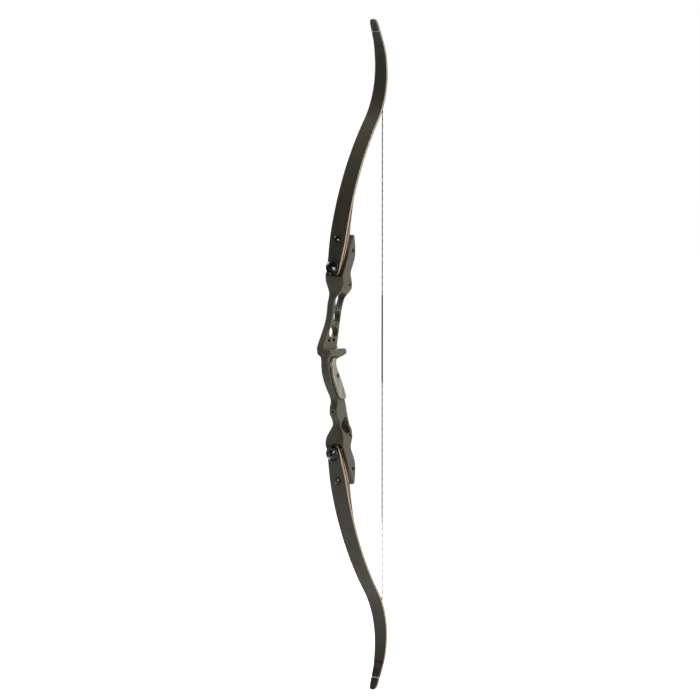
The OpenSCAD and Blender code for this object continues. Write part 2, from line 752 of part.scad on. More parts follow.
module string_loop() {
    lean = limb_angle(nock_s);
    color("#b9b6ab") ring_tube(loop_route, loop_d, 8, [sin(lean), 0, cos(lean)]);
}

riser();
grip();
grip_screws();
stabiliser_bushing();

bolt_insert();  // upper_bolt_insert
lock_screw();  // upper_lock_screw
limb_bolt();  // upper_limb_bolt
cone_washer();  // upper_cone_washer
dovetail_block();  // upper_dovetail_block
block_screw();  // upper_block_screw
alignment_screws();  // upper_alignment_screws
limb_dovetail();  // upper_limb_dovetail
limb_button();  // upper_limb_button
detent_pin();  // upper_detent_pin
detent_spring();  // upper_detent_spring
butt_wedge();  // upper_butt_wedge
back_glass(0, flex_l);  // upper_back_glass_inner
core(0, flex_l);  // upper_core_inner
belly_glass(0, flex_l);  // upper_belly_glass_inner
back_glass(flex_l, limb_l);  // upper_back_glass_outer
core(flex_l, limb_l);  // upper_core_outer
belly_glass(flex_l, limb_l);  // upper_belly_glass_outer
tip_overlay();  // upper_tip_overlay
string_loop();  // upper_string_loop
bowstring();  // upper_bowstring
serving(serving_top);  // upper_centre_serving

for_lower() bolt_insert();  // lower_bolt_insert
for_lower() lock_screw();  // lower_lock_screw
for_lower() limb_bolt();  // lower_limb_bolt
for_lower() cone_washer();  // lower_cone_washer
for_lower() dovetail_block();  // lower_dovetail_block
for_lower() block_screw();  // lower_block_screw
for_lower() alignment_screws();  // lower_alignment_screws
for_lower() limb_dovetail();  // lower_limb_dovetail
for_lower() limb_button();  // lower_limb_button
for_lower() detent_pin();  // lower_detent_pin
for_lower() detent_spring();  // lower_detent_spring
for_lower() butt_wedge();  // lower_butt_wedge
for_lower() back_glass(0, flex_l);  // lower_back_glass_inner
for_lower() core(0, flex_l);  // lower_core_inner
for_lower() belly_glass(0, flex_l);  // lower_belly_glass_inner
for_lower() back_glass(flex_l, limb_l);  // lower_back_glass_outer
for_lower() core(flex_l, limb_l);  // lower_core_outer
for_lower() belly_glass(flex_l, limb_l);  // lower_belly_glass_outer
for_lower() tip_overlay();  // lower_tip_overlay
for_lower() string_loop();  // lower_string_loop
for_lower() bowstring();  // lower_bowstring
for_lower() serving(serving_bottom);  // lower_centre_serving
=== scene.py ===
import math
import bmesh
import bpy
from mathutils import Matrix, Vector
from mathutils.kdtree import KDTree


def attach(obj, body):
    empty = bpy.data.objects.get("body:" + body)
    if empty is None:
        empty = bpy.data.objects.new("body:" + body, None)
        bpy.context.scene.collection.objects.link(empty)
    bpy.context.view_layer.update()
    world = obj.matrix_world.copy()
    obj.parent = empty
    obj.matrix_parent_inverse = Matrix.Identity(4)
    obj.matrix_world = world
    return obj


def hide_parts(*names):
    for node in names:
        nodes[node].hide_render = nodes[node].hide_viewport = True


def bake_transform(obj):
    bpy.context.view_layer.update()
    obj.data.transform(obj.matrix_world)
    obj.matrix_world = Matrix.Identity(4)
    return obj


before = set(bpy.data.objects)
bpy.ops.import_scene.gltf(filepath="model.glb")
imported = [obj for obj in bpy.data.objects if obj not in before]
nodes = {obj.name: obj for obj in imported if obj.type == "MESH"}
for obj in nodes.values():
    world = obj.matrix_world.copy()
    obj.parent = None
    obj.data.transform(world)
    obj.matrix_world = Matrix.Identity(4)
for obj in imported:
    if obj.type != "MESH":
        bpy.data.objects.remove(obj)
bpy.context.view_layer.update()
sides = {"upper": 1, "lower": -1}
print("frame loaded:", len(nodes), "nodes")

# Camera
camera = {
    "aim": (0.067, 0.0, 0.0199),
    "azimuth": -55.0,
    "elevation": 3.7,
    "distance": 6.5,
    "lens": 150.3,
    "clipEnd": 100,
}


def placeCamera():
    turn, lift = math.radians(camera["azimuth"]), math.radians(camera["elevation"])
    back = Vector((math.sin(turn) * math.cos(lift), -math.cos(turn) * math.cos(lift), math.sin(lift)))
    data = bpy.data.cameras.new("photoCamera")
    data.lens = camera["lens"]
    data.clip_end = camera["clipEnd"]
    holder = bpy.data.objects.new("photoCamera", data)
    bpy.context.scene.collection.objects.link(holder)
    holder.location = Vector(camera["aim"]) + back * camera["distance"]
    holder.rotation_euler = (-back).to_track_quat("-Z", "Y").to_euler()
    bpy.context.scene.camera = holder


placeCamera()

# Floor, background and lamps
studio = {
    "floorHeight": -0.83,
    "floorSize": 60.0,
    "floorColor": (0.86, 0.86, 0.86),
    "floorGlow": 0.98,
    "floorGlowReflected": 0.15,
    "ambient": 0.05,
    "dimSide": (-0.62, 0.62, 0.48),  # where reflections find the unlit end of the studio
    "dimLevel": 0.08,
    "dimFrom": 0.4,
    "dimFull": 0.7,
    "lamps": [  # name, place, aim, width, height, power, lights matt surfaces, shows in shiny ones
        ("keyLamp", (1.8, -2.7, 0.4), (0.05, 0.0, 0.0), 1.2, 2.6, 58.0, True, True),
        ("frontLamp", (-5.0, 0.0, 0.0), (0.0, 0.0, 0.0), 0.9, 1.6, 6.0, True, True),
        ("frontPanel", (-5.0, -0.4, -0.2), (0.0, 0.0, 0.0), 2.6, 2.8, 190.0, False, True),
        ("topLamp", (0.2, 1.5, 2.9), (0.05, 0.0, 0.2), 1.6, 1.6, 80.0, True, False),
        ("backLamp", (3.0, 2.0, 0.8), (0.05, 0.0, 0.0), 1.8, 2.4, 45.0, True, True),
    ],
}


def mathNode(tree, operation, first, second):
    node = tree.nodes.new("ShaderNodeMath")
    node.operation = operation
    tree.links.new(first, node.inputs[0])
    tree.links.new(second, node.inputs[1])
    return node.outputs[0]


def rangeNode(tree, source, low, high, fromLow=0.0, fromHigh=1.0, interpolation="LINEAR"):
    node = tree.nodes.new("ShaderNodeMapRange")
    node.interpolation_type = interpolation
    node.inputs["From Min"].default_value = fromLow
    node.inputs["From Max"].default_value = fromHigh
    node.inputs["To Min"].default_value = low
    node.inputs["To Max"].default_value = high
    tree.links.new(source, node.inputs["Value"])
    return node.outputs[0]


def isRay(tree, kind):
    return tree.nodes.new("ShaderNodeLightPath").outputs[f"Is {kind} Ray"]


def seenDirectly(tree):
    # 1 for camera, glossy and transmission rays
    cameraOrGlossy = mathNode(tree, "MAXIMUM", isRay(tree, "Camera"), isRay(tree, "Glossy"))
    return mathNode(tree, "MAXIMUM", cameraOrGlossy, isRay(tree, "Transmission"))


def makeRoom():
    scene = bpy.context.scene
    scene.view_settings.view_transform = "Standard"
    world = bpy.data.worlds.new("paleRoom")
    scene.world = world
    world.use_nodes = True
    tree = world.node_tree
    background = tree.nodes["Background"]
    background.inputs["Color"].default_value = (1, 1, 1, 1)
    level = rangeNode(tree, seenDirectly(tree), studio["ambient"], 1.0)
    towards = tree.nodes.new("ShaderNodeVectorMath")
    towards.operation = "DOT_PRODUCT"
    towards.inputs[1].default_value = studio["dimSide"]
    tree.links.new(tree.nodes.new("ShaderNodeTexCoord").outputs["Generated"], towards.inputs[0])
    room = rangeNode(tree, towards.outputs["Value"], 1.0, studio["dimLevel"],
                     studio["dimFrom"], studio["dimFull"], "SMOOTHSTEP")
    reflected = tree.nodes.new("ShaderNodeMix")
    tree.links.new(isRay(tree, "Glossy"), reflected.inputs[0])
    tree.links.new(level, reflected.inputs[2])
    tree.links.new(room, reflected.inputs[3])
    tree.links.new(reflected.outputs[0], background.inputs["Strength"])


def makeFloor():
    bm = bmesh.new()
    bmesh.ops.create_grid(bm, x_segments=1, y_segments=1, size=studio["floorSize"] / 2)
    bmesh.ops.translate(bm, verts=bm.verts, vec=(0, 0, studio["floorHeight"]))
    floor = meshObject("studioFloor", bm)
    paint = bpy.data.materials.new("paleFloor")
    paint.use_nodes = True
    tree = paint.node_tree
    tree.nodes.clear()
    matt = tree.nodes.new("ShaderNodeBsdfDiffuse")
    matt.inputs["Color"].default_value = (*studio["floorColor"], 1)
    glow = tree.nodes.new("ShaderNodeEmission")
    level = rangeNode(tree, isRay(tree, "Glossy"), studio["floorGlow"], studio["floorGlowReflected"])
    tree.links.new(mathNode(tree, "MULTIPLY", seenDirectly(tree), level), glow.inputs["Strength"])
    both = tree.nodes.new("ShaderNodeAddShader")
    tree.links.new(matt.outputs[0], both.inputs[0])
    tree.links.new(glow.outputs[0], both.inputs[1])
    output = tree.nodes.new("ShaderNodeOutputMaterial")
    tree.links.new(both.outputs[0], output.inputs["Surface"])
    floor.data.materials.append(paint)


def makeLamps():
    for name, place, aim, width, height, power, matt, shiny in studio["lamps"]:
        data = bpy.data.lights.new(name, "AREA")
        data.shape = "RECTANGLE"
        data.size, data.size_y = width, height
        data.energy = power
        lamp = bpy.data.objects.new(name, data)
        bpy.context.scene.collection.objects.link(lamp)
        lamp.location = place
        lamp.visible_diffuse = matt
        lamp.visible_glossy = shiny
        lamp.rotation_euler = (Vector(aim) - Vector(place)).to_track_quat("-Z", "Y").to_euler()


# Mesh helpers
mergeWithin = {"solids": 2e-6, "turned": 1e-6, "tubes": 1e-7}


def meshObject(name, bm, material=None):
    mesh = bpy.data.meshes.new(name)
    bm.to_mesh(mesh)
    bm.free()
    piece = bpy.data.objects.new(name, mesh)
    bpy.context.scene.collection.objects.link(piece)
    if material:
        mesh.materials.append(material)
    return piece


def applyModifiers(piece):
    graph = bpy.context.evaluated_depsgraph_get()
    mesh = bpy.data.meshes.new_from_object(piece.evaluated_get(graph))
    piece.modifiers.clear()
    piece.data = mesh


def smoothShading(piece, angle):
    piece.data.shade_smooth()
    piece.data.set_sharp_from_angle(angle=math.radians(angle))


def copyOfNodes(nodeNames):
    # the solids of some nodes as one clean bmesh
    bm = bmesh.new()
    for name in nodeNames:
        bm.from_mesh(nodes[name].data)
    bmesh.ops.remove_doubles(bm, verts=bm.verts, dist=mergeWithin["solids"])
    return bm


def softened(name, nodeNames, settings, material):
    # a copy of solids whose corners are rounded as on a casting or a moulding
    piece = meshObject(name, copyOfNodes(nodeNames))
    skin = piece.modifiers.new("skin", "REMESH")
    skin.mode = "VOXEL"
    skin.voxel_size = settings["voxel"]
    applyModifiers(piece)
    bm = bmesh.new()
    bm.from_mesh(piece.data)
    for _ in range(settings["smoothing"]):
        bmesh.ops.smooth_vert(bm, verts=bm.verts, factor=0.5,
                              use_axis_x=True, use_axis_y=True, use_axis_z=True)
    bm.to_mesh(piece.data)
    bm.free()
    piece.data.materials.clear()
    piece.data.materials.append(material)
    piece.data.shade_smooth()
    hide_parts(*nodeNames)
    return piece


# Materials
def rgb(r, g, b):
    # a colour written as 0 to 255, as it looks on screen
    def linear(v):
        v = v / 255
        return v / 12.92 if v <= 0.04045 else ((v + 0.055) / 1.055) ** 2.4
    return (linear(r), linear(g), linear(b), 1)


# painted shade: the coat and the grip darkened to near black where they meet, in the crevice between them
seamShade = {"inner": 0.0012, "outer": 0.0030, "most": 0.9, "color": rgb(20, 18, 14)}
# the grip darker and browner within a few millimetres of the riser and its screws
gripEdge = {"inner": 0.0014, "outer": 0.0048, "most": 0.7, "color": rgb(100, 76, 46)}
glassJoint = {"from": 0.540, "to": 0.560, "color": rgb(14, 13, 11)}
wedgeFibre = {"from": 0.006, "to": 0.018, "color": rgb(36, 30, 22)}


class Finish:
    # one material under construction

    def __init__(self, name, roughness, metallic=0.0, specular=0.5, coat=0.0, coatRoughness=0.1):
        self.material = bpy.data.materials.new(name)
        self.material.use_nodes = True
        self.tree = self.material.node_tree
        self.shader = self.tree.nodes["Principled BSDF"]
        self.shader.inputs["Roughness"].default_value = roughness
        self.shader.inputs["Metallic"].default_value = metallic
        self.shader.inputs["Specular IOR Level"].default_value = specular
        self.shader.inputs["Coat Weight"].default_value = coat
        self.shader.inputs["Coat Roughness"].default_value = coatRoughness

    def add(self, kind, **values):
        node = self.tree.nodes.new(kind)
        for key, value in values.items():
            setattr(node, key, value)
        return node

    def link(self, source, target):
        self.tree.links.new(source, target)

    def place(self, stretch=(1, 1, 1), attribute=None, turn=(0, 0, 0)):
        if attribute:
            source = self.add("ShaderNodeAttribute", attribute_name=attribute).outputs["Vector"]
        else:
            source = self.add("ShaderNodeTexCoord").outputs["Object"]
        mapping = self.add("ShaderNodeMapping")
        mapping.inputs["Scale"].default_value = stretch
        mapping.inputs["Rotation"].default_value = [math.radians(a) for a in turn]
        self.link(source, mapping.inputs["Vector"])
        return mapping.outputs[0]

    def noise(self, scale, detail=3.0, rough=0.55, **where):
        node = self.add("ShaderNodeTexNoise")
        node.inputs["Scale"].default_value = scale
        node.inputs["Detail"].default_value = detail
        node.inputs["Roughness"].default_value = rough
        self.link(self.place(**where), node.inputs["Vector"])
        return node.outputs[0]

    def ramp(self, source, stops):
        node = self.add("ShaderNodeValToRGB")
        while len(node.color_ramp.elements) < len(stops):
            node.color_ramp.elements.new(0.5)
        for element, (position, color) in zip(node.color_ramp.elements, stops):
            element.position = position
            element.color = color
        self.link(source, node.inputs[0])
        return node.outputs[0]

    def mask(self, source, stops):
        # a ramp of shares, for a mix
        return self.ramp(source, [(position, (share, share, share, 1)) for position, share in stops])

    def mix(self, share, first, second, blend="MIX"):
        node = self.add("ShaderNodeMix", data_type="RGBA", blend_type=blend)
        for value, socket in ((share, node.inputs[0]), (first, node.inputs[6]), (second, node.inputs[7])):
            if isinstance(value, bpy.types.NodeSocket):
                self.link(value, socket)
            else:
                socket.default_value = value
        return node.outputs[2]

    def level(self, source, low, high, fromLow=0.0, fromHigh=1.0):
        return rangeNode(self.tree, source, low, high, fromLow, fromHigh)

    def nearSeam(self, source, inner, outer, most, color):
        # a tint that falls from most to 0 between two distances from the piece next to this one
        distance = self.add("ShaderNodeAttribute", attribute_name="seam").outputs["Fac"]
        return self.mix(self.level(distance, most, 0.0, inner, outer), source, color)

    def limbPart(self, axis):
        # place along (0), across (1) or under (2) the limb
        split = self.add("ShaderNodeSeparateXYZ")
        self.link(self.place(attribute="limbPlace"), split.inputs[0])
        return split.outputs[axis]

    def color(self, source):
        self.link(source, self.shader.inputs["Base Color"])

    def roughness(self, source):
        self.link(source, self.shader.inputs["Roughness"])

    def bump(self, source, strength, distance):
        node = self.add("ShaderNodeBump")
        node.inputs["Strength"].default_value = strength
        node.inputs["Distance"].default_value = distance
        self.link(source, node.inputs["Height"])
        self.link(node.outputs[0], self.shader.inputs["Normal"])


def riserCoat():
    f = Finish("riserCoat", 0.45, specular=0.2)
    cloud = f.ramp(f.noise(14, detail=4), [(0.3, rgb(105, 101, 85)), (0.7, rgb(115, 111, 94))])
    grit = f.noise(1500, detail=2)
    speck = f.ramp(grit, [(0.35, rgb(70, 68, 58)), (0.55, rgb(118, 116, 104))])
    coat = f.mix(0.08, cloud, speck)
    # lighter on convex edges, in patches: edge wear, and partly a painted highlight along the edges
    edges = f.mask(f.add("ShaderNodeNewGeometry").outputs["Pointiness"], [(0.56, 0), (0.7, 1)])
    patches = f.mask(f.noise(60, detail=5), [(0.4, 0.1), (0.65, 0.4)])
    wearAndEdgeHighlight = f.mix(f.mix(1.0, edges, patches, blend="MULTIPLY"), coat, rgb(130, 127, 114))
    # painted shade darkens the coat next to the grip
    f.color(f.nearSeam(wearAndEdgeHighlight, **seamShade))
    f.roughness(f.level(f.noise(40, detail=4), 0.4, 0.52))
    f.bump(grit, 0.05, 0.0002)
    return f.material


def gripFinish():
    f = Finish("gripFinish", 0.24, coat=0.35, coatRoughness=0.12)
    layers = f.noise(1.0, detail=5, rough=0.6, stretch=(300, 120, 9), turn=(0, 24, 0))
    tones = [(0.3, rgb(138, 130, 108)), (0.5, rgb(180, 173, 151)), (0.72, rgb(212, 206, 187))]
    base = f.ramp(layers, tones)
    streaks = f.noise(1.0, detail=2, stretch=(160, 60, 6), turn=(0, 24, 0))
    panel = f.mix(f.mask(streaks, [(0.5, 0), (0.6, 0.8)]), base, rgb(112, 90, 60))
    # painted shade darkens the grip next to the riser and its screws
    f.color(f.nearSeam(f.nearSeam(panel, **gripEdge), **seamShade))
    f.roughness(f.level(f.noise(90, detail=3), 0.2, 0.34))
    f.bump(layers, 0.05, 0.0004)
    return f.material


def limbGlass(name, specular):
    f = Finish(name, 0.36, specular=specular)
    fibres = f.noise(1.0, detail=4, rough=0.65, stretch=(12, 1300, 1300), attribute="limbPlace")
    cloud = f.noise(1.0, detail=3, stretch=(5, 30, 1), attribute="limbPlace")
    base = f.ramp(cloud, [(0.3, rgb(72, 67, 54)), (0.7, rgb(82, 77, 63))])
    lines = f.ramp(fibres, [(0.3, rgb(60, 56, 45)), (0.7, rgb(100, 95, 79))])
    along = f.add("ShaderNodeMath", operation="FRACT")  # drops the metre that the lower limb starts at
    f.link(f.limbPart(0), along.inputs[0])
    joint = f.mask(f.level(along.outputs[0], 0, 1, glassJoint["from"], glassJoint["to"]),
                   [(0.4, 0), (0.46, 0.9), (0.54, 0.9), (0.6, 0)])
    f.color(f.mix(joint, f.mix(0.4, base, lines), glassJoint["color"]))  # a fine line across, near the tip
    f.roughness(f.level(fibres, 0.3, 0.42))
    f.bump(fibres, 0.06, 0.0002)
    return f.material


def overlayFinish():
    f = Finish("overlayFinish", 0.3, specular=0.4, coat=0.25, coatRoughness=0.15)
    grain = f.noise(1.0, detail=4, stretch=(30, 500, 500), attribute="limbPlace")
    f.color(f.ramp(grain, [(0.3, rgb(52, 50, 44)), (0.7, rgb(74, 72, 64))]))
    f.roughness(f.level(grain, 0.24, 0.36))
    f.bump(grain, 0.05, 0.0002)
    return f.material


def coreWood():
    f = Finish("coreWood", 0.36, specular=0.4, coat=0.2, coatRoughness=0.2)
    grain = f.noise(1.0, detail=5, rough=0.6, stretch=(16, 400, 900), attribute="limbPlace")
    bands = f.noise(1.0, detail=2, stretch=(2.5, 10, 1500), attribute="limbPlace")
    tones = [(0.28, rgb(190, 166, 130)), (0.5, rgb(214, 192, 156)), (0.75, rgb(230, 212, 180))]
    pale = f.ramp(grain, tones)
    f.color(f.mix(f.mask(bands, [(0.56, 0), (0.66, 0.5)]), pale, rgb(152, 124, 86)))
    f.bump(grain, 0.08, 0.0002)
    return f.material


def wedgeWood():
    f = Finish("wedgeWood", 0.36, specular=0.4, coat=0.2, coatRoughness=0.2)
    grain = f.noise(1.0, detail=5, rough=0.65, stretch=(14, 260, 520), attribute="limbPlace")
    tone = f.ramp(grain, [(0.28, rgb(156, 122, 78)), (0.5, rgb(196, 160, 108)), (0.74, rgb(222, 190, 138))])
    pores = f.noise(1.0, detail=2, stretch=(60, 1600, 1600), attribute="limbPlace")
    wood = f.mix(f.mask(pores, [(0.62, 0), (0.7, 0.6)]), tone, rgb(96, 72, 42))
    fibre = f.mask(f.level(f.limbPart(2), 0, 1, wedgeFibre["from"], wedgeFibre["to"]),
                   [(0.27, 1), (0.29, 0), (0.58, 0), (0.6, 1)])
    f.color(f.mix(fibre, wood, wedgeFibre["color"]))  # wood between two layers of black fibre
    f.bump(grain, 0.1, 0.0002)
    return f.material


def turnedSteel(name, dark, light, roughness, metallic=1.0, specular=0.5):
    # fine turning marks and a faint stain
    f = Finish(name, roughness, metallic=metallic, specular=specular)
    stain = f.noise(120, detail=4)
    scratches = f.noise(1.0, detail=3, stretch=(200, 200, 5200), turn=(0, 14.5, 0))
    tones = [(0.3, dark), (0.7, light)]
    f.color(f.mix(0.35, f.ramp(stain, tones), f.ramp(scratches, tones)))
    f.roughness(f.level(scratches, roughness * 0.8, roughness * 1.3))
    f.bump(scratches, 0.05, 0.0001)
    return f.material


def blackOxide():
    f = Finish("blackOxide", 0.4, metallic=0.6)
    wear = f.noise(500, detail=4)
    f.color(f.ramp(wear, [(0.35, rgb(24, 23, 21)), (0.7, rgb(52, 51, 48))]))
    f.roughness(f.level(wear, 0.32, 0.5))
    f.bump(wear, 0.06, 0.0001)
    return f.material


def cordFinish(name, dark, light):
    f = Finish(name, 0.62, specular=0.3)
    fibres = f.noise(1.0, detail=3, rough=0.7, stretch=(2600, 2600, 700))
    f.color(f.ramp(fibres, [(0.3, dark), (0.7, light)]))
    f.bump(fibres, 0.25, 0.0002)
    f.shader.inputs["Sheen Weight"].default_value = 0.25
    f.shader.inputs["Sheen Roughness"].default_value = 0.5
    return f.material


makeRoom()
makeFloor()
makeLamps()
finishes = {
    "riser": riserCoat(),
    "grip": gripFinish(),
    "glass": limbGlass("limbGlass", 0.4),
    "bellyGlass": limbGlass("bellyGlass", 0.1),
    "overlay": overlayFinish(),
    "core": coreWood(),
    "wedge": wedgeWood(),
    "bolt": turnedSteel("boltSteel", rgb(14, 14, 14), rgb(24, 24, 25), 0.11, metallic=0.0, specular=0.6),
    "steel": turnedSteel("plainSteel", rgb(104, 104, 102), rgb(150, 150, 147), 0.34),
    "bushing": turnedSteel("bushingSteel", rgb(126, 123, 112), rgb(182, 179, 168), 0.38, metallic=0.2),
    "brass": turnedSteel("insertBrass", rgb(150, 120, 62), rgb(206, 174, 104), 0.3),
    "black": blackOxide(),
    "paleStrand": cordFinish("paleStrand", rgb(216, 210, 194), rgb(244, 239, 226)),
    "darkStrand": cordFinish("darkStrand", rgb(46, 42, 31), rgb(80, 75, 60)),
    "serving": cordFinish("servingThread", rgb(78, 74, 62), rgb(112, 108, 94)),
    "loop": cordFinish("loopThread", rgb(190, 188, 180), rgb(232, 230, 224)),
}
print("studio and", len(finishes), "finishes made")

# The limb's back face, from the butt to the tip
limbShape = {
    "butt": (-0.0015, 0.190),
    "padAngle": 14.5,
    "straight": 0.092,
    "bend": 0.284,
    "bendAngle": 38.5,
    "recurve": 0.192,
    "recurveAngle": -22.0,
    "length": 0.615,
    "step": 0.010,
    "buttThickness": 0.0072,
    "tipThickness": 0.005,
    "flexStart": 0.174,
    "flexEnd": 0.370,
    "overlayLength": 0.052,
    "overlayThickness": 0.003,  # at the tip, over the edge's thickness
    "overlayEdge": 0.0006,
    "sharpAngle": 25,
    "lowerGrainStart": 1.0,  # the lower limb's grain is read from here on, so that it is another
}
overlayPiece = {"voxel": 0.0004, "smoothing": 4}


def limbAngle(s):
    bendStart = limbShape["straight"]
    recurveStart = bendStart + limbShape["bend"]
    tipStart = recurveStart + limbShape["recurve"]
    pad, bend, tip = limbShape["padAngle"], limbShape["bendAngle"], limbShape["recurveAngle"]
    if s < bendStart:
        return math.radians(pad)
    if s < recurveStart:
        return math.radians(pad + (bend - pad) * (s - bendStart) / limbShape["bend"])
    if s < tipStart:
        return math.radians(bend + (tip - bend) * (s - recurveStart) / limbShape["recurve"])
    return math.radians(tip)


def backLine():
    x, z = limbShape["butt"]
    step = limbShape["step"]
    line = []
    for i in range(int(limbShape["length"] / step) + 2):
        line.append((x, z))
        angle = limbAngle((i + 0.5) * step)
        x, z = x + step * math.sin(angle), z + step * math.cos(angle)
    return line


limbLine = backLine()


def limbPoint(s, depth, across=0.0, sign=1):
    # a point of a limb, at distance s from the butt and some depth under its back face
    slack = 1e-9  # keeps a whole number of steps from falling to the one below
    i = max(0, math.floor(s / limbShape["step"] + slack))
    share = s / limbShape["step"] - i
    x = limbLine[i][0] + share * (limbLine[i + 1][0] - limbLine[i][0])
    z = limbLine[i][1] + share * (limbLine[i + 1][1] - limbLine[i][1])
    angle = limbAngle(s)
    return Vector((x + depth * math.cos(angle), across, sign * (z - depth * math.sin(angle))))


def limbThickness(s):
    butt, tip = limbShape["buttThickness"], limbShape["tipThickness"]
    return butt + (tip - butt) * s / limbShape["length"]


def limbFrame(s, sign):
    # x towards the tip, z out of the back face
    turn = Matrix.Rotation(limbAngle(s) - math.pi / 2, 4, "Y")
    return Matrix.Scale(sign, 4, (0, 0, 1)) @ Matrix.Translation(limbPoint(s, 0)) @ turn


def markLimbPlace(piece, sign):
    # each vertex learns its place along, across and under the limb, for grain that follows it
    step = limbShape["step"]
    start = limbShape["lowerGrainStart"] if sign < 0 else 0.0
    values = []
    for vertex in piece.data.vertices:
        x, y, z = vertex.co.x, vertex.co.y, vertex.co.z * sign
        i = min(range(len(limbLine) - 1),
                key=lambda k: (limbLine[k][0] - x) ** 2 + (limbLine[k][1] - z) ** 2)
        angle = limbAngle(i * step)
        dx, dz = x - limbLine[i][0], z - limbLine[i][1]
        along = dx * math.sin(angle) + dz * math.cos(angle)
        under = dx * math.cos(angle) - dz * math.sin(angle)
        values += [i * step + along + start, y, under]
    attribute = piece.data.attributes.new("limbPlace", "FLOAT_VECTOR", "POINT")
    attribute.data.foreach_set("vector", values)


# Limbs
def wholeLamination(side, part, material):
    # inner and outer stretch of one lamination, joined without the walls between them
    names = [f"{side}_{part}_inner", f"{side}_{part}_outer"]
    bm = copyOfNodes(names)
    twins = {}
    for face in bm.faces:
        twins.setdefault(frozenset(v.index for v in face.verts), []).append(face)
    doubled = [f for group in twins.values() if len(group) > 1 for f in group]
    bmesh.ops.delete(bm, geom=doubled, context="FACES")
    piece = meshObject(f"{side}_{part}", bm, material)
    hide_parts(*names)
    return piece


def makeLimb(side, sign):
    for part, finish, slot in (
        ("back_glass", "glass", "limb_glass"), ("core", "core", "core_wood"),
        ("belly_glass", "bellyGlass", "limb_glass"),
    ):
        piece = wholeLamination(side, part, finishes[finish])
        smoothShading(piece, limbShape["sharpAngle"])
        markLimbPlace(piece, sign)
        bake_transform(piece)
    wedge = meshObject(f"{side}_wedge", copyOfNodes([f"{side}_butt_wedge"]), finishes["wedge"])
    smoothShading(wedge, limbShape["sharpAngle"])
    markLimbPlace(wedge, sign)
    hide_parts(f"{side}_butt_wedge")
    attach(wedge, f"{side}_limb")
    overlay = softened(f"{side}_overlay", [f"{side}_tip_overlay"], overlayPiece, finishes["overlay"])
    markLimbPlace(overlay, sign)
    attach(overlay, f"{side}_limb_tip")


for side, sign in sides.items():
    makeLimb(side, sign)
print("limbs made")

# Riser and grip
castingPiece = {"voxel": 0.0012, "smoothing": 7}
gripPiece = {"voxel": 0.0008, "smoothing": 12}


def markSeam(piece, others):
    # each vertex learns how far the nearest vertex of the others is
    places = [vertex.co for other in others for vertex in other.data.vertices]
    tree = KDTree(len(places))
    for i, place in enumerate(places):
        tree.insert(place, i)
    tree.balance()
    values = [tree.find(vertex.co)[2] for vertex in piece.data.vertices]
    piece.data.attributes.new("seam", "FLOAT", "POINT").data.foreach_set("value", values)


def makeRiser():
    casting = softened("riser_casting", ["riser"], castingPiece, finishes["riser"])
    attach(casting, "riser")
    grip = softened("grip_moulding", ["grip"], gripPiece, finishes["grip"])
    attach(grip, "riser")
    markSeam(casting, [grip])
    markSeam(grip, [casting, nodes["grip_screws"]])


makeRiser()
print("riser and grip made")

# Limb bolts and buttons, as profiles of radius and height above the limb's back face
turning = {"steps": 96, "keyLength": 0.02, "sharpAngle": 30}
boltPiece = {
    "station": 0.017,
    "profile": [
        (0.0, -0.0282), (0.0043, -0.0282), (0.00475, -0.0277), (0.00475, 0.0024),  # shank
        (0.0144, 0.0024), (0.0152, 0.0027), (0.0156, 0.0034), (0.0156, 0.0058),  # rim
        (0.0155, 0.0063), (0.01525, 0.0066), (0.01495, 0.0067), (0.0146, 0.0065), (0.0144, 0.0064),  # lip
        (0.0120, 0.0053), (0.0118, 0.0052), (0.0114, 0.0051), (0.0110, 0.0051), (0.0107, 0.0052),  # groove
        (0.0105, 0.00529), (0.0043, 0.00805), (0.0041, 0.0081), (0.0037, 0.00815), (0.0, 0.00815),  # cone
    ],
    "socketAcross": 0.006,
    "socketFloor": 0.0045,
    "node": "limb_bolt",
    "body": "bolt",
}
buttonPiece = {
    "station": 0.081,
    "profile": [
        (0.0, -0.0072), (0.003, -0.0072), (0.003, 0.0),  # shank
        (0.0082, 0.0), (0.0085, 0.0003), (0.0085, 0.0017), (0.0083, 0.0021), (0.0080, 0.0022),  # rim
        (0.0079, 0.0021), (0.0066, 0.0015), (0.0063, 0.0014), (0.0059, 0.0014), (0.0056, 0.0015),  # groove
        (0.0054, 0.0016), (0.0025, 0.0029), (0.0023, 0.0030), (0.0019, 0.0030), (0.0, 0.0030),  # cone
    ],
    "socketAcross": 0.0025,
    "socketFloor": 0.0014,
    "node": "limb_button",
    "body": "limb",
}


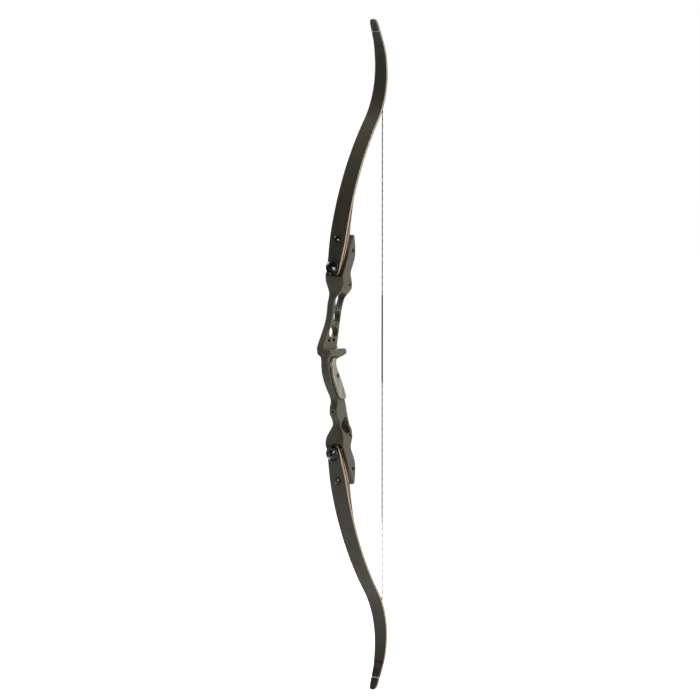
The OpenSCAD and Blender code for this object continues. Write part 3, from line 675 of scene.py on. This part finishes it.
def turnedPiece(side, sign, part):
    bm = bmesh.new()
    ring = [bm.verts.new((radius, 0, height)) for radius, height in part["profile"]]
    for a, b in zip(ring, ring[1:]):
        bm.edges.new((a, b))
    bmesh.ops.spin(bm, geom=bm.verts[:] + bm.edges[:], axis=(0, 0, 1), cent=(0, 0, 0), angle=math.tau,
                   steps=turning["steps"], use_merge=True)
    bmesh.ops.remove_doubles(bm, verts=bm.verts, dist=mergeWithin["turned"])
    bmesh.ops.recalc_face_normals(bm, faces=bm.faces)
    piece = meshObject(f"{side}_{part['node']}_turned", bm, finishes["bolt"])
    bm = bmesh.new()
    corner, length = part["socketAcross"] / math.sqrt(3), turning["keyLength"]
    bmesh.ops.create_cone(bm, cap_ends=True, segments=6, radius1=corner, radius2=corner, depth=length)
    bmesh.ops.translate(bm, verts=bm.verts, vec=(0, 0, part["socketFloor"] + length / 2))
    key = meshObject("hexKey", bm)
    socket = piece.modifiers.new("socket", "BOOLEAN")
    socket.operation = "DIFFERENCE"
    socket.object = key
    socket.solver = "EXACT"
    applyModifiers(piece)
    bpy.data.objects.remove(key)
    bm = bmesh.new()
    bm.from_mesh(piece.data)
    bmesh.ops.transform(bm, matrix=limbFrame(part["station"], sign), verts=bm.verts)
    bmesh.ops.recalc_face_normals(bm, faces=bm.faces)
    bm.to_mesh(piece.data)
    bm.free()
    smoothShading(piece, turning["sharpAngle"])
    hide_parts(f"{side}_{part['node']}")
    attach(piece, f"{side}_{part['body']}")


for side, sign in sides.items():
    turnedPiece(side, sign, boltPiece)
    turnedPiece(side, sign, buttonPiece)
print("bolts and buttons turned")

# String, in an upper and a lower half that meet at the middle
stringPiece = {
    "diameter": 0.0028,
    "strand": 0.00058,
    "strands": ("paleStrand", "paleStrand", "darkStrand", "darkStrand"),
    "pitch": 0.0162,
    "stepsPerTurn": 14,
    "gap": 0.0003,
    "nockInset": 0.029,
    "servingDiameter": 0.0037,
    "servedTo": {"upper": 0.138, "lower": 0.061},
    "endServedLength": 0.06,
    "endThread": 0.0001,
    "threadPitch": 0.0007,
    "threadSwell": (0.93, 0.98, 1.0, 0.98),  # shares of the radius over one turn of thread
    "straightPoints": 160,
    "contactStep": 0.002,
    "peelStart": 0.30,
    "peelEnd": 0.36,
}
loopPiece = {
    "diameter": 0.0024,
    "gap": 0.0003,
    "lean": 0.0012,
    "relief": 0.0012,
    "nockRadius": 0.0032,
    "nockWidth": 0.020,
    "cornerStep": 15,
    "threadSwell": (0.92, 0.97, 1.0, 0.97),
}
nockPlace = limbShape["length"] - stringPiece["nockInset"]
threadStep = stringPiece["threadPitch"] / 4


def stringRoute(sign):
    # up the middle, and then along the belly of the recurve to the nock
    radius = stringPiece["diameter"] / 2
    contact, s = [], limbShape["straight"] + limbShape["bend"]
    while s < nockPlace - stringPiece["diameter"]:
        contact.append(limbPoint(s, limbThickness(s) + stringPiece["gap"] + radius))
        s += stringPiece["contactStep"]
    widest = max(range(len(contact)), key=lambda k: contact[k].x)
    top, count = contact[widest:], stringPiece["straightPoints"]
    route = [Vector((top[0].x, 0, top[0].z * k / count)) for k in range(count)] + top
    return [Vector((p.x, p.y, p.z * sign)) for p in route]


def measured(route):
    lengths = [0.0]
    for a, b in zip(route, route[1:]):
        lengths.append(lengths[-1] + (b - a).length)
    return lengths


def pointAt(route, lengths, distance):
    # place and direction at a distance along a route
    i = 0
    while i < len(lengths) - 2 and lengths[i + 1] < distance:
        i += 1
    share = (distance - lengths[i]) / (lengths[i + 1] - lengths[i])
    return route[i].lerp(route[i + 1], share), (route[i + 1] - route[i]).normalized()


def curveMesh(name, lines, radius, resolution, material, cyclic=False):
    # tubes along lines of (point, share of the radius)
    data = bpy.data.curves.new(name, "CURVE")
    data.dimensions = "3D"
    data.bevel_depth = radius
    data.bevel_resolution = resolution
    data.use_fill_caps = not cyclic
    for line in lines:
        spline = data.splines.new("POLY")
        spline.points.add(len(line) - 1)
        for point, (place, share) in zip(spline.points, line):
            point.co = (*place, 1)
            point.radius = share
        spline.use_cyclic_u = cyclic
    holder = bpy.data.objects.new(name + "Curve", data)
    bpy.context.scene.collection.objects.link(holder)
    graph = bpy.context.evaluated_depsgraph_get()
    mesh = bpy.data.meshes.new_from_object(holder.evaluated_get(graph))
    bpy.data.objects.remove(holder)
    mesh.materials.clear()
    mesh.materials.append(material)
    mesh.shade_smooth()
    piece = bpy.data.objects.new(name, mesh)
    bpy.context.scene.collection.objects.link(piece)
    bm = bmesh.new()
    bm.from_mesh(mesh)
    bmesh.ops.remove_doubles(bm, verts=bm.verts, dist=mergeWithin["tubes"])
    bmesh.ops.recalc_face_normals(bm, faces=bm.faces)
    bm.to_mesh(mesh)
    bm.free()
    return piece


def joined(name, pieces):
    # one piece from several, each with its own material
    bm = bmesh.new()
    materials = []
    for piece in pieces:
        before = len(bm.faces)
        bm.from_mesh(piece.data)
        bm.faces.ensure_lookup_table()
        for face in bm.faces[before:]:
            face.material_index = len(materials)
        materials.append(piece.data.materials[0])
        bpy.data.objects.remove(piece)
    whole = meshObject(name, bm)
    for material in materials:
        whole.data.materials.append(material)
    whole.data.shade_smooth()
    return whole


def twistedStrand(route, lengths, phase, sign):
    # a helix round the route
    offset = stringPiece["diameter"] / 2 - stringPiece["strand"]
    steps = int(lengths[-1] / stringPiece["pitch"] * stringPiece["stepsPerTurn"])
    line = []
    for k in range(steps + 1):
        distance = lengths[-1] * k / steps
        place, direction = pointAt(route, lengths, distance)
        across = Vector((0, 1, 0))
        outward = across.cross(direction)
        angle = sign * math.tau * distance / stringPiece["pitch"] + phase
        line.append((place + offset * (math.cos(angle) * across + math.sin(angle) * outward), 1.0))
    return line


def servedStretch(route, lengths, first, last):
    # close turns of thread, thicker and thinner by turns
    line, k = [], 0
    while first + k * threadStep < last:
        place = pointAt(route, lengths, first + k * threadStep)[0]
        line.append((place, stringPiece["threadSwell"][k % 4]))
        k += 1
    return line


def loopRoute(sign):
    # round the tip at the nock, from the belly face to the overlay's top
    radius = loopPiece["diameter"] / 2 + loopPiece["gap"]
    half = loopPiece["nockWidth"] / 2 + loopPiece["relief"] - loopPiece["nockRadius"]
    length, thickness = limbShape["overlayLength"], limbShape["overlayThickness"]
    top = -thickness * (length - stringPiece["nockInset"]) / length - limbShape["overlayEdge"]
    belly = limbThickness(nockPlace)
    middle, reach = (top + belly) / 2, belly - top
    section = []
    for across, depth, start in ((half, belly, 0), (-half, belly, 90), (-half, top, 180), (half, top, 270)):
        for a in range(start, start + 91, loopPiece["cornerStep"]):
            turn = math.radians(a)
            section.append((across + radius * math.cos(turn), depth + radius * math.sin(turn)))
    dense = []
    for (y0, d0), (y1, d1) in zip(section, section[1:] + section[:1]):
        count = max(2, round(math.hypot(y1 - y0, d1 - d0) / threadStep))
        dense += [(y0 + (y1 - y0) * k / count, d0 + (d1 - d0) * k / count) for k in range(count)]
    points = [limbPoint(nockPlace - loopPiece["lean"] * (d - middle) / reach, d, y, sign) for y, d in dense]
    return [(p, loopPiece["threadSwell"][k % 4]) for k, p in enumerate(points)]


def makeString(side, sign):
    route = stringRoute(sign)
    lengths = measured(route)
    strands = []
    for k, name in enumerate(stringPiece["strands"]):
        helix = twistedStrand(route, lengths, k * math.tau / len(stringPiece["strands"]), sign)
        strands.append(curveMesh("strand", [helix], stringPiece["strand"], 1, finishes[name]))
    turns = servedStretch(route, lengths, lengths[-1] - stringPiece["endServedLength"], lengths[-1])
    endRadius = stringPiece["diameter"] / 2 + stringPiece["endThread"]
    strands.append(curveMesh("endServing", [turns], endRadius, 2, finishes["loop"]))
    cord = joined(f"{side}_string_cord", strands)
    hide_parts(f"{side}_bowstring")
    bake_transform(cord)
    turns = servedStretch(route, lengths, 0, stringPiece["servedTo"][side])
    served = curveMesh(f"{side}_served_centre", [turns], stringPiece["servingDiameter"] / 2, 3,
                       finishes["serving"])
    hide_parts(f"{side}_centre_serving")
    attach(served, f"{side}_string")
    loop = curveMesh(f"{side}_served_loop", [loopRoute(sign)], loopPiece["diameter"] / 2, 3,
                     finishes["loop"], cyclic=True)
    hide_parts(f"{side}_string_loop")
    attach(loop, f"{side}_loop")


for side, sign in sides.items():
    makeString(side, sign)
print("string made")

# Fittings that keep their CAD shape
fittings = {
    "grip_screws": "black",
    "stabiliser_bushing": "bushing",
    "bolt_insert": "brass",
    "lock_screw": "black",
    "cone_washer": "black",
    "dovetail_block": "steel",
    "block_screw": "black",
    "alignment_screws": "black",
    "limb_dovetail": "steel",
    "detent_pin": "steel",
    "detent_spring": "steel",
}
for name, node in nodes.items():
    kind = name.split("_", 1)[1] if name.split("_")[0] in sides else name
    if kind in fittings and not node.hide_render:
        for slot in node.material_slots:
            slot.material = finishes[fittings[kind]]
print("fittings finished")
